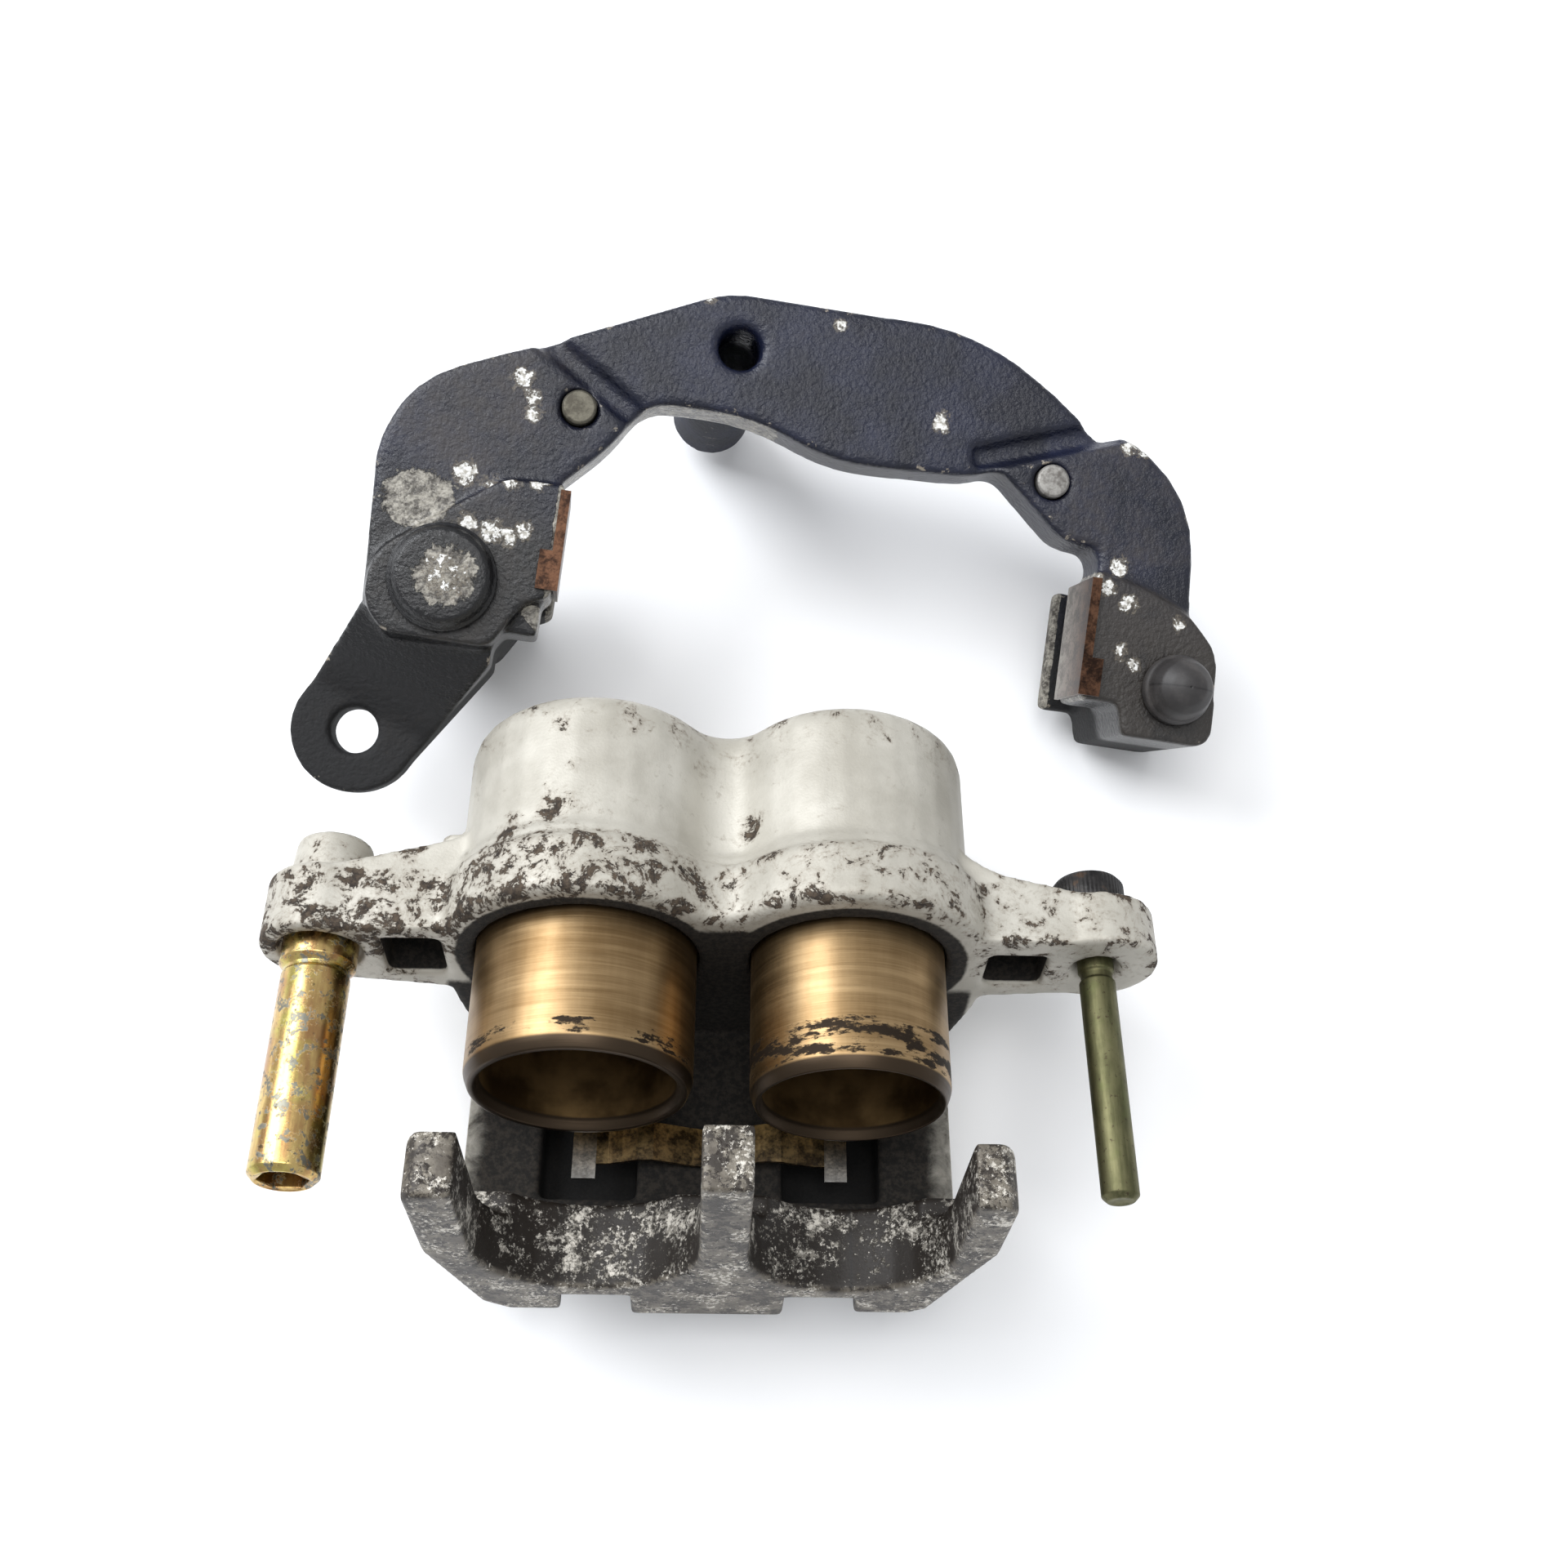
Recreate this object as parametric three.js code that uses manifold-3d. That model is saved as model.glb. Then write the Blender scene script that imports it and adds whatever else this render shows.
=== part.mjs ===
// Twin-piston floating brake caliper, taken off its mounting bracket for service.
// The caliper lies on its bridge with the jaw open upwards and both pistons run out.
// The bracket lies behind it on its mounting boss and its two pin blocks.
// Units are millimetres. +Z is up, +X is to the right and -Y is towards the open piston cups.
import * as THREE from 'three';
import { mergeVertices } from 'three/addons/utils/BufferGeometryUtils.js';
import Module from 'manifold-3d';

const wasm = await Module();
wasm.setup();

// ---------------------------------------------------------------- driving dimensions

const degree = Math.PI / 180;
const gap = 0.3; // left between pieces that seat on one another
const pinX = 67.5; // half the distance between the two slide pins

// Caliper frame: y = 0 is the mouth of the bores, z = 0 is the level of the pistons and pins.
const largePiston = { x: -21.6, radius: 19.1, wall: 2.7, length: 33.5, proud: 24.4 };
const smallPiston = { x: 23.8, radius: 16.9, wall: 2.1, length: 34.5, proud: 26.0 };
const housing = {
  back: 42, flange: 11.6, flangeLip: 1.6, fillet: 1.2,
  largeLobe: 23.1, smallLobe: 21.7, largeFlange: 25.9, smallFlange: 25,
};
const jaw = {
  opening: 39, claw: 10.4,
  bridgeInside: -29, bridgeOutside: -37.5,
  left: -43.5, right: 44.6,
};
const boreDepth = 34.5;
const lug = { radius: 10.4, front: 0.3, thickness: 12.7 };
const pinReach = 40.4; // how far the slide pins stand out in front of the mouth

// Bracket frame: z = 0 is the front of the pin blocks, y = 0 is the line through both pin bores.
const plate = { front: -2.5, back: -12.5 };
const mainBlock = { back: -49.4, bore: 6.4 };
const sleeveBlock = { back: -31, bore: 5.6 };
const rotorGap = { front: -15.5, back: -26.5 };
const mountBoss = { x: -21, y: 50.2, radius: 8, back: -55.2, hole: 3.9 };
const mountLug = { x: -81, y: -28.1, radius: 11.6, front: -18, back: -27.5, hole: 4.3 };
const dowel = { radius: 3.1, proud: 0.7 };
const rail = { left: -48.4, right: 50 }; // the faces that the pads slide on

// ---------------------------------------------------------------- solids and booleans

function toSolid(geometry) {
  const bare = geometry.clone();
  bare.deleteAttribute('normal');
  bare.deleteAttribute('uv');
  const merged = mergeVertices(bare, 1e-4);
  return new wasm.Manifold(new wasm.Mesh({
    numProp: 3,
    vertProperties: new Float32Array(merged.attributes.position.array),
    triVerts: new Uint32Array(merged.index.array),
  }));
}

function toGeometry(solid) {
  const mesh = solid.getMesh();
  const geometry = new THREE.BufferGeometry();
  const positions = new Float32Array(mesh.vertProperties);
  geometry.setAttribute('position', new THREE.BufferAttribute(positions, 3));
  geometry.setIndex(new THREE.BufferAttribute(new Uint32Array(mesh.triVerts), 1));
  geometry.computeVertexNormals();
  return geometry;
}

// Joins what is in `added` and then takes away what is in `removed`; both hold geometries or solids.
function combine(added, removed = []) {
  const asSolid = (item) => (item.isBufferGeometry ? toSolid(item) : item);
  const joined = added.map(asSolid).reduce((sum, solid) => sum.add(solid));
  return removed.map(asSolid).reduce((rest, solid) => rest.subtract(solid), joined);
}

const carve = (added, removed) => toGeometry(combine(added, removed));

// ---------------------------------------------------------------- outlines and basic forms

// A closed outline through [x, y, radius] corners; a radius above zero rounds its corner.
function outline(corners) {
  const shape = new THREE.Shape();
  corners.forEach(([x, y, radius = 0], i) => {
    const corner = new THREE.Vector2(x, y);
    const before = new THREE.Vector2(...corners.at(i - 1));
    const after = new THREE.Vector2(...corners[(i + 1) % corners.length]);
    const start = corner.clone().add(before.sub(corner).setLength(radius));
    const end = corner.clone().add(after.sub(corner).setLength(radius));
    if (i === 0) {
      shape.moveTo(start.x, start.y);
    } else {
      shape.lineTo(start.x, start.y);
    }
    if (radius > 0) {
      shape.quadraticCurveTo(x, y, end.x, end.y);
    }
  });
  shape.closePath();
  return shape;
}

// A shape drawn in X and Z that fills the space from yFront back to yBack.
function slabY(shape, yFront, yBack, bevel = 0, curveSegments = 4, bevelSegments = 2) {
  const geometry = new THREE.ExtrudeGeometry(shape, {
    depth: yBack - yFront - 2 * bevel,
    bevelEnabled: bevel > 0,
    bevelThickness: bevel,
    bevelSize: bevel,
    bevelOffset: -bevel,
    bevelSegments,
    curveSegments,
  });
  return geometry.rotateX(Math.PI / 2).translate(0, yBack - bevel, 0);
}

// A shape drawn in X and Y that fills the space from zBack up to zFront.
function slabZ(shape, zBack, zFront, curveSegments = 4) {
  const depth = zFront - zBack;
  const geometry = new THREE.ExtrudeGeometry(shape, { depth, bevelEnabled: false, curveSegments });
  return geometry.translate(0, 0, zBack);
}

function rodY(radius, yFront, yBack, x = 0, z = 0, sides = 32, frontRadius = radius) {
  const geometry = new THREE.CylinderGeometry(radius, frontRadius, yBack - yFront, sides);
  return geometry.translate(x, (yFront + yBack) / 2, z);
}

function rodZ(radius, zBack, zFront, x = 0, y = 0, sides = 28, backRadius = radius) {
  const geometry = new THREE.CylinderGeometry(radius, backRadius, zFront - zBack, sides);
  return geometry.rotateX(Math.PI / 2).translate(x, y, (zBack + zFront) / 2);
}

function box(xMin, xMax, yMin, yMax, zMin, zMax) {
  const geometry = new THREE.BoxGeometry(xMax - xMin, yMax - yMin, zMax - zMin);
  return geometry.translate((xMin + xMax) / 2, (yMin + yMax) / 2, (zMin + zMax) / 2);
}

// A turned piece about the Y axis from [radius, y] corners, listed with y rising on the outside.
function turned(corners, sides = 32) {
  const points = corners.map(([radius, y]) => new THREE.Vector2(radius, y));
  return new THREE.LatheGeometry(points, sides);
}

// The same piece turned about the Z axis instead, with [radius, z] corners.
function turnedZ(corners, sides = 28) {
  return turned(corners, sides).rotateX(Math.PI / 2);
}

function piece(name, geometry, material) {
  const mesh = new THREE.Mesh(geometry, material);
  mesh.name = name;
  return mesh;
}

// ---------------------------------------------------------------- materials

function finish(color, roughness, metalness) {
  return new THREE.MeshStandardMaterial({ color, roughness, metalness });
}

const silverPaint = finish(0xb9b7b0, 0.5, 0.5);
const blackPaint = finish(0x25262d, 0.45, 0.3);
const bronze = finish(0xa9814f, 0.35, 0.8);
const yellowZinc = finish(0xb89b4a, 0.3, 0.8);
const oliveZinc = finish(0x5b5d3c, 0.4, 0.7);
const blackSteel = finish(0x1d1c1b, 0.5, 0.6);
const bareSteel = finish(0x8d8c86, 0.4, 0.9);
const springSteel = finish(0x8c6239, 0.35, 0.9);
const rubber = finish(0x1b1a19, 0.85, 0);

// ---------------------------------------------------------------- caliper body

// Two lobes round the bores, joined by a hollow saddle above and below.
function twinLobe(leftRadius, rightRadius, saddleRadius = 6) {
  const span = smallPiston.x - largePiston.x;
  const a = leftRadius + saddleRadius;
  const b = rightRadius + saddleRadius;
  const x = (a * a - b * b + span * span) / (2 * span);
  const z = Math.sqrt(a * a - x * x);
  const saddleX = largePiston.x + x;
  const leftAngle = Math.atan2(z, x);
  const rightAngle = Math.atan2(z, x - span);
  const shape = new THREE.Shape();
  shape.absarc(largePiston.x, 0, leftRadius, leftAngle, -leftAngle + 2 * Math.PI, false);
  shape.absarc(saddleX, -z, saddleRadius, Math.PI - leftAngle, Math.PI - rightAngle, true);
  shape.absarc(smallPiston.x, 0, rightRadius, -rightAngle, rightAngle, false);
  shape.absarc(saddleX, z, saddleRadius, rightAngle - Math.PI, leftAngle - Math.PI, true);
  return shape;
}

// Full-height wall below the flange that carries the jaw load down into the bridge.
function flangeSkirt() {
  return outline([
    [-46.6, 1], [-46.6, -14, 6], [jaw.left, -32, 4], [-38, jaw.bridgeOutside, 3],
    [38, jaw.bridgeOutside, 3], [jaw.right, -32, 4], [49, -14, 6], [49, -1],
  ]);
}

// Round-bottomed bays of the claw, one in front of each piston.
const bays = [
  { left: -37.7, right: -0.7, floor: -25.5, leftTop: 20.2, rightTop: 24.8 },
  { left: 7.2, right: 41, floor: -25.5, leftTop: 24.8, rightTop: 18.6 },
];

// The claw: three legs that stand on the bridge, with the bays between them.
function clawShape() {
  const shape = new THREE.Shape();
  shape.moveTo(-45.5, 18);
  shape.lineTo(-43.6, 20.2);
  for (const bay of bays) {
    const radius = (bay.right - bay.left) / 2;
    shape.lineTo(bay.left, bay.leftTop);
    shape.lineTo(bay.left, bay.floor + radius);
    shape.absarc(bay.left + radius, bay.floor + radius, radius, Math.PI, 2 * Math.PI, false);
    shape.lineTo(bay.right, bay.rightTop);
  }
  const foot = [
    [46, 18.6], [47.8, 16], [47.8, -4], [39.6, -36], [37, -38.5], [26.7, -38.5],
    [26.7, -30], [14.3, -30], [14.3, -41], [-12.7, -41], [-12.7, -30], [-25, -30],
    [-25, -38.5], [-34.5, -38.5], [-38.5, -34.5], [-45.5, -6.5],
  ];
  foot.forEach(([x, z]) => shape.lineTo(x, z));
  shape.closePath();
  return shape;
}

// Thick root of the claw on the bridge, hollowed by the same bays.
function clawRoot() {
  const root = { front: -jaw.opening - 1, back: -jaw.opening + 4.4 };
  const block = box(jaw.left + 0.5, jaw.right - 0.5, root.front, root.back, jaw.bridgeInside - 1, -19);
  const hollows = bays.map(({ left, right, floor }) => {
    const radius = (right - left) / 2;
    return rodY(radius, root.front - 1, root.back + 1, left + radius, floor + radius, 36);
  });
  return combine([block], hollows);
}

function mountingArms() {
  const leftArm = outline([
    [-66, lug.front], [-42, lug.front], [-42, 20], [-48, 17.6, 4], [-66, lug.front + lug.thickness],
  ]);
  const rightArm = outline([
    [42, lug.front], [66, lug.front], [66, 10.2], [48, 14.4, 4], [42, 20],
  ]);
  const leftRoot = outline([[-64, -9.8], [-44, -12.8], [-44, 0], [-64, 0]]);
  const rightRoot = outline([[44, -12.8], [64, -10.2], [64, 0], [44, 0]]);
  const back = lug.front + lug.thickness;
  return [
    slabZ(leftArm, -9.6, 9.6),
    slabZ(rightArm, -9.6, 9.6),
    slabY(leftRoot, lug.front, back),
    slabY(rightRoot, lug.front, back - 1),
    rodY(2.8, back, 21.8, -45.6, 3, 20), // small cast boss in the root of the left arm
    rodY(lug.radius, lug.front, back, -pinX, 0, 36),
    rodY(6.7, back - 1, 21.3, -pinX, 0, 24, 7.4),
    rodY(lug.radius + 0.5, lug.front, 10.2, pinX, 0, 36),
  ];
}

function armCuts() {
  return [
    rodY(7.4, lug.front - 1, lug.front + 2.5, -pinX, 0, 28), // seat of the main pin's shoulder
    rodY(4.6, lug.front, 16, -pinX, 0, 20), // blind thread of the main pin
    rodY(4.3, lug.front - 1, lug.front + 1.5, pinX, 0, 24), // countersink round the thin pin
    rodY(3.5, lug.front, 12, pinX, 0, 24), // through hole of the thin pin
    rodY(7.4, 10.2, 18, pinX, 0, 28), // flat seat under the bolt's head
    box(-56.6, -46.4, lug.front - 1, 8.5, -7, 5.6), // lightening pocket, left arm
    box(48.4, 58.6, lug.front - 1, 8.5, -7, 3.8), // lightening pocket, right arm
  ];
}

function boreCuts({ x, radius }) {
  const pressureGroove = radius + 2.3;
  const dustGroove = radius + 1.6;
  return [
    rodY(radius + gap, -1, boreDepth, x, 0, 40),
    rodY(pressureGroove, 6, 9.6, x, 0, 32),
    rodY(dustGroove, 2, 4.4, x, 0, 32),
  ];
}

const bleedPort = { x: largePiston.x, z: -12 };
const inletPort = { x: 10, z: -9 };
const passage = { y: 32.5, z: 0 };

function fluidCuts() {
  const crossDrill = new THREE.CylinderGeometry(2, 2, 70, 16).rotateZ(Math.PI / 2);
  const plugSeat = new THREE.CylinderGeometry(3.3, 3.3, 6, 20).rotateZ(Math.PI / 2);
  return [
    crossDrill.translate(13, passage.y, passage.z), // joins the two bores and runs out on the right
    plugSeat.translate(44.4, passage.y, passage.z),
    rodY(4.3, 36.5, 46, bleedPort.x, bleedPort.z, 20),
    rodY(1.5, 33, 38, bleedPort.x, bleedPort.z, 12),
    rodY(4.7, 37, 46, inletPort.x, inletPort.z, 20),
    rodY(1.5, 33, 38, inletPort.x, inletPort.z, 12),
  ];
}

// Recesses sunk into the bridge on either side of its middle web, for the pads' backing plates.
const bridgeRecesses = [[-29.6, -12.4], [13.6, 31.2]];
const recess = { front: -32.4, back: -11, skin: 1.6 };

function caliperBody() {
  const { back, flange, flangeLip, fillet, largeLobe, smallLobe, largeFlange, smallFlange } = housing;
  const clawFront = -(jaw.opening + jaw.claw);
  const added = [
    slabY(twinLobe(largeLobe, smallLobe), 6, back, 4.5, 12, 3),
    slabY(twinLobe(largeFlange, smallFlange), 0, flange, flangeLip, 12),
    slabY(twinLobe(largeLobe + fillet, smallLobe + fillet), flange - 1.5, flange + 3, fillet, 12, 1),
    slabY(flangeSkirt(), 0, flange + 1, 1),
    box(jaw.left, jaw.right, -jaw.opening - 2, 6, jaw.bridgeOutside, jaw.bridgeInside),
    slabY(clawShape(), clawFront, -jaw.opening, 0, 6),
    clawRoot(),
    rodY(7.5, 38, 44, bleedPort.x, bleedPort.z, 24),
    rodY(8.6, 36, 43.5, inletPort.x, inletPort.z, 28),
    ...mountingArms(),
  ];
  const removed = [
    ...boreCuts(largePiston),
    ...boreCuts(smallPiston),
    ...bridgeRecesses.map(([left, right]) => (
      box(left, right, recess.front, recess.back, jaw.bridgeOutside + recess.skin, -24)
    )),
    ...armCuts(),
    ...fluidCuts(),
  ];
  return piece('caliper_body', carve(added, removed), silverPaint);
}

// ---------------------------------------------------------------- pistons and seals

function piston(name, { x, radius, wall, length, proud }) {
  const inside = radius - wall;
  const end = length - proud;
  const cup = turned([
    [0, end - 4.5], [inside - 1.5, end - 4.5], [inside, end - 6],
    [inside, -proud + 0.6], [inside + 0.6, -proud],
    [radius - 0.9, -proud], [radius - 0.3, -proud + 1.6], [radius, -proud + 2.4],
    [radius, end - 1.2], [radius - 1.2, end], [0, end],
  ], 40);
  cup.translate(x, 0, 0);
  return piece(name, cup, bronze);
}

function ring(name, x, inner, outer, yFront, yBack) {
  const section = [[inner, yFront], [outer, yFront], [outer, yBack], [inner, yBack], [inner, yFront]];
  return piece(name, turned(section, 32).translate(x, 0, 0), rubber);
}

function seals(size, { x, radius }) {
  return [
    ring(`${size}_dust_seal`, x, radius + gap, radius + 1.6 - gap, 2 + gap, 4.4 - gap),
    ring(`${size}_pressure_seal`, x, radius + gap, radius + 2.3 - gap, 6 + gap, 9.6 - gap),
  ];
}

// ---------------------------------------------------------------- slide pins and fluid fittings

function mainSlidePin() {
  const radius = 5.85;
  const shoulder = lug.front + 2.5 - gap;
  const body = turned([
    [0, -pinReach], [4.9, -pinReach], [radius, -pinReach + 1], [radius, -4.6], [5.5, -4.2], [5.5, -3.4],
    [6.5, -2.4], [6.5, shoulder], [4.3, shoulder], [4.3, 14.5], [3.6, 15.2], [0, 15.2],
  ], 24);
  const socket = new THREE.CylinderGeometry(4.3, 4.3, 9, 6).translate(0, -pinReach + 4, 0);
  const pin = carve([body], [socket]).translate(-pinX, 0, 0);
  return piece('main_slide_pin', pin, yellowZinc);
}

const thinPin = { radius: 3.15, reach: 41.6, head: 6.5, seat: 10.2 };

function thinSlidePin() {
  const { radius, reach, seat } = thinPin;
  const body = turned([
    [0, -reach], [2.3, -reach], [radius, -reach + 0.9], [radius, -2.4], [2.75, -2], [2.75, -0.8],
    [radius, -0.4], [radius, seat - gap], [0, seat - gap],
  ], 24);
  const thread = rodY(2.1, -4, seat, 0, 0, 16);
  return piece('thin_slide_pin', carve([body], [thread]).translate(pinX, 0, 0), oliveZinc);
}

function thinPinBolt() {
  const { head, seat } = thinPin;
  const top = seat + gap + 6.6;
  const body = turned([
    [0, -2], [1.75, -2], [1.75, seat + gap], [head, seat + gap],
    [head, top - 0.7], [head - 0.7, top], [0, top],
  ], 32);
  const socket = new THREE.CylinderGeometry(2.9, 2.9, 4, 6).translate(0, top - 1.5, 0);
  return piece('thin_pin_bolt', carve([body], [socket]).translate(pinX, 0, 0), blackSteel);
}

function bleedScrew() {
  const body = turned([
    [0, 37], [1.2, 37], [4, 40], [4, 44.3], [3.6, 49.3],
    [2.6, 50.2], [3.3, 51.4], [3.3, 52.4], [2.4, 56], [0, 56],
  ], 18);
  const hexagon = new THREE.CylinderGeometry(5.3, 5.3, 5, 6).translate(0, 46.8, 0);
  const nozzle = rodY(0.9, 44, 57, 0, 0, 12);
  const screw = carve([body, hexagon], [nozzle]);
  return piece('bleed_screw', screw.translate(bleedPort.x, 0, bleedPort.z), yellowZinc);
}

function bleedCap() {
  const cap = turned([
    [3.6, 49.9], [5, 49.9], [5, 51.6], [4.4, 52.2], [4.4, 56.4], [3.2, 57.8], [0, 57.8],
    [0, 56.5], [3.0, 56.5], [3.9, 53], [3.9, 50.6], [3.6, 49.9],
  ], 18);
  return piece('bleed_cap', cap.translate(bleedPort.x, 0, bleedPort.z), rubber);
}

function passagePlug() {
  const plug = new THREE.CylinderGeometry(3, 3, 3.3, 20).rotateZ(Math.PI / 2);
  return piece('passage_plug', plug.translate(43.45, passage.y, passage.z), bareSteel);
}

// ---------------------------------------------------------------- pad spring

// A thin strip whose middle line runs smoothly through [x, z] points.
function stripShape(points, thickness, steps = 20) {
  const curve = new THREE.SplineCurve(points.map(([x, z]) => new THREE.Vector2(x, z)));
  const upper = [];
  const lower = [];
  for (let i = 0; i <= steps; i += 1) {
    const at = curve.getPoint(i / steps);
    const along = curve.getTangent(i / steps).setLength(thickness / 2);
    upper.push(new THREE.Vector2(at.x - along.y, at.y + along.x));
    lower.unshift(new THREE.Vector2(at.x + along.y, at.y - along.x));
  }
  return new THREE.Shape([...upper, ...lower]);
}

function padSpring() {
  const thickness = 0.7;
  const seat = jaw.bridgeInside + gap + thickness / 2;
  const leaf = stripShape([
    [-22.5, seat + 0.9], [-17, seat + 1], [-11, seat + 3.4], [-5.5, seat + 1.6], [-1, seat], [2, seat],
    [6.5, seat + 1.6], [12, seat + 3.4], [18.5, seat + 1], [24, seat + 0.9],
  ], thickness);
  const tabs = [[-23.9, -19.7], [21.2, 25.2]].map(([left, right]) => (
    box(left, right, -29.4, -20, seat + 0.9 - thickness / 2, seat + 0.9 + thickness / 2)
  ));
  return piece('pad_spring', carve([slabY(leaf, -26.6, -19.6), ...tabs]), springSteel);
}

// ---------------------------------------------------------------- mounting bracket

function plateShape() {
  return outline([
    [-81, -6.5], [-82.4, 22, 3], [-78.5, 34.5, 9], [-62, 42.4, 6], [-55.9, 44.8], [-24.6, 60, 4],
    [16, 60.8, 5], [28, 57.8, 6], [38.5, 51.6], [48.3, 44.6], [52.6, 46.4, 3], [67.4, 37, 12],
    [69.6, 12, 12], [51, 12], [50.4, 24.3, 3], [43.2, 24.6, 3], [29.8, 36, 2.5], [24, 33.8, 3],
    [-1, 32.2, 8], [-17, 38.2, 8], [-36.5, 37.6, 5], [-41.5, 28.6, 4.5], [-50, 19.8], [-58, -6.5],
  ]);
}

// Low wedge-shaped valley pressed across the plate between two [x, y] points.
function valley([x1, y1], [x2, y2], width, depth) {
  const length = Math.hypot(x2 - x1, y2 - y1);
  const section = outline([[-width / 2, 1], [-width / 4, -depth], [width / 4, -depth], [width / 2, 1]]);
  return slabY(section, 0, length)
    .rotateZ(Math.atan2(y2 - y1, x2 - x1) - Math.PI / 2)
    .translate(x1, y1, plate.front);
}

function mainBlockShape() {
  return outline([
    [-59.4, 19.2, 2], [rail.left, 19.8, 1], [rail.left, -0.4, 1], [-53, -2.5], [-58, -11, 2],
    [-76.8, -10.9, 2], [-80.4, -6.6, 2.5], [-80.8, 2.4, 5], [-72.6, 9, 4],
  ]);
}

function sleeveBlockShape() {
  return outline([
    [rail.right, 19.6, 1], [58, 18.6, 4], [69, 14.2, 3], [75.2, 8, 4], [76, -9.8, 4],
    [58.6, -9.8, 1], [57.2, -4, 1], [rail.right, -4.2, 1],
  ]);
}

// Raised land round the right dowel that the pad rail grows out of.
function rightPadShape() {
  return outline([
    [51, 44.2], [30.6, 38, 1], [29.4, 36, 1], [43.4, 24.8], [50.4, 24.6], [51, 13],
    [69.4, 13, 2], [67.2, 36.6, 11], [54.6, 44.8, 3],
  ]);
}

// Sloping arm from the main block down to the lower mounting lug.
function lugArm() {
  const { x, y, radius, front, back } = mountLug;
  const web = outline([
    [-80.6, -3], [-92.2, y + 3.5], [x - 4, y - radius + 1], [x + 8, y - 8.5], [-57.6, -13.4], [-57.6, -4],
  ]);
  const top = -6;
  const slope = Math.atan2(top - front, 19);
  const above = new THREE.BoxGeometry(80, 80, 40).translate(0, -40, 20).rotateX(slope);
  above.rotateZ(-22 * degree).translate(-68, -8, top);
  const ramp = combine([slabZ(web, front - 1, top)], [above]);
  return combine([ramp, slabZ(web, back, front), rodZ(radius, back, front, x, y, 32)]);
}

function bracket() {
  const { x, y, radius, back, hole } = mountBoss;
  const added = [
    slabZ(plateShape(), plate.back, plate.front),
    slabZ(rightPadShape(), plate.front - 1, plate.front + 1),
    slabZ(mainBlockShape(), -40, 0),
    box(-56, -50, -7.6, 0, rotorGap.front, -3.5), // foot of the left pad rail
    rodZ(10, mainBlock.back, -20, -pinX, 0, 32),
    slabZ(sleeveBlockShape(), sleeveBlock.back, 0),
    rodZ(radius, back, plate.back + 1, x - 1, y - 0.5, 32),
    lugArm(),
  ];
  const removed = [
    rodZ(hole, back - 1, 0, x, y, 24),
    rodZ(5.4, plate.front - 1.4, plate.front + 1, x, y, 24, hole),
    valley([-56.2, 46], [-37.6, 34.4], 6.4, 1.8),
    valley([50.8, 47], [24.5, 37.2], 6, 1.8),
    rodZ(mainBlock.bore, mainBlock.back - 1, 1, -pinX, 0, 28),
    rodZ(sleeveBlock.bore, sleeveBlock.back - 1, 1, pinX, 0, 28),
    box(-57, -46, -4, 21, rotorGap.back, rotorGap.front),
    box(48, 57, -5, 21, rotorGap.back, rotorGap.front),
    rodZ(mountLug.hole, mountLug.back - 1, mountLug.front + 1, mountLug.x, mountLug.y, 24),
    rodZ(5.5, mountLug.front - 1, mountLug.front + 1, mountLug.x, mountLug.y, 24, 4.2),
    rodZ(dowel.radius + gap, plate.back + 2, 1, -48.2, 34.4, 20),
    rodZ(dowel.radius + gap, plate.back + 2, 1, 39.7, 35.2, 20),
  ];
  return piece('bracket', carve(added, removed), blackPaint);
}

function dowels() {
  const places = { left_dowel: [-48.2, 34.4, plate.front], right_dowel: [39.7, 35.2, plate.front + 1] };
  return Object.entries(places).map(([name, [x, y, front]]) => {
    const bottom = plate.back + 2 + gap;
    const top = front + dowel.proud;
    const { radius } = dowel;
    const body = turnedZ([
      [0, bottom], [radius, bottom], [radius, top - 0.4], [radius - 0.4, top], [0, top],
    ], 18);
    return piece(name, body.translate(x, y, 0), bareSteel);
  });
}

// Pressed plug that closes the front of the main pin bore.
function mainBoreCap() {
  const cap = turnedZ([
    [0, -4.5], [mainBlock.bore - gap, -4.5], [mainBlock.bore - gap, gap], [9.6, gap], [9.6, 1.6], [8.4, 3.6],
    [7.6, 4.1], [0, 4.3],
  ], 28);
  return piece('main_bore_cap', cap.translate(-pinX, 0, 0), blackPaint);
}

// Bellows at the open end of the main pin bore.
function mainPinBoot() {
  const top = mainBlock.back - gap;
  const boot = turnedZ([
    [6.2, top - 5.6], [7.4, top - 5.6], [8.6, top - 4.4], [7.4, top - 3.2], [8.8, top - 1.6], [8.8, top],
    [6.4, top], [6.2, top - 5.6],
  ], 20);
  return piece('main_pin_boot', boot.translate(-pinX, 0, 0), rubber);
}

// Closed rubber sleeve for the thin pin: a domed end in front and a lip behind.
function thinPinSleeve() {
  const outer = sleeveBlock.bore - gap;
  const lip = sleeveBlock.back - gap;
  const sleeve = turnedZ([
    [3.5, lip - 2.2], [7, lip - 2.2], [7.4, lip - 1.1], [7, lip], [outer, lip], [outer, gap], [6.5, gap],
    [6.5, 2.2], [5.9, 2.9], [5.7, 4.6], [4.9, 6.5], [3.3, 7.9], [0, 8.8],
    [0, 6.8], [3.2, 5.4], [3.5, 4], [3.5, lip - 2.2],
  ], 20);
  return piece('thin_pin_sleeve', sleeve.translate(pinX, 0, 0), rubber);
}

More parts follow.
